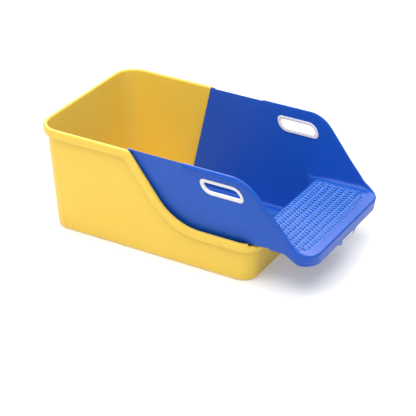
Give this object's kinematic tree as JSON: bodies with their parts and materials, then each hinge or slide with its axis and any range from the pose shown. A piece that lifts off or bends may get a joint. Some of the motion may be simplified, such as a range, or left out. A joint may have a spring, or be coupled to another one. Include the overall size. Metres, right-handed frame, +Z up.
{
  "type": "open cat litter box",
  "caption": "Open cat litter box: deep tub with a swept rim and a lift-out high-sided surround with a perforated entry step over a catch tray.",
  "frame": {"origin": "centre of the footprint, on the floor", "axes": "+X from the tub's rear to the entry step, +Y to the left when walking in the +X direction, +Z up"},
  "size_m": [0.8286, 0.4696, 0.3096],
  "materials": {
    "tub_plastic": "fine satin, yellow",
    "surround_plastic": "fine satin, blue",
    "insert_plastic": "fine satin, blue",
    "grip_plastic": "satin, white"
  },
  "bodies": {
    "tub": {"tub": "tub_plastic"},
    "surround": {"surround": "surround_plastic", "foot_grate": "insert_plastic", "left_grip_outer": "grip_plastic", "left_grip_inner": "grip_plastic", "right_grip_outer": "grip_plastic", "right_grip_inner": "grip_plastic", "front_badge": "grip_plastic"},
    "tray": {"catch_tray": "insert_plastic"},
    "tread": {"tread_panel": "insert_plastic"}
  },
  "joints": [
    {"name": "surround_lift", "type": "slide", "parent": "tub", "child": "surround", "axis": [0, 0, 1], "range_m": [0, 0.3]},
    {"name": "tray_lift", "type": "slide", "parent": "surround", "child": "tray", "axis": [0, 0, 1], "range_m": [0, 0.12]},
    {"name": "tread_lift", "type": "slide", "parent": "tray", "child": "tread", "axis": [0, 0, 1], "range_m": [0, 0.1]}
  ]
}
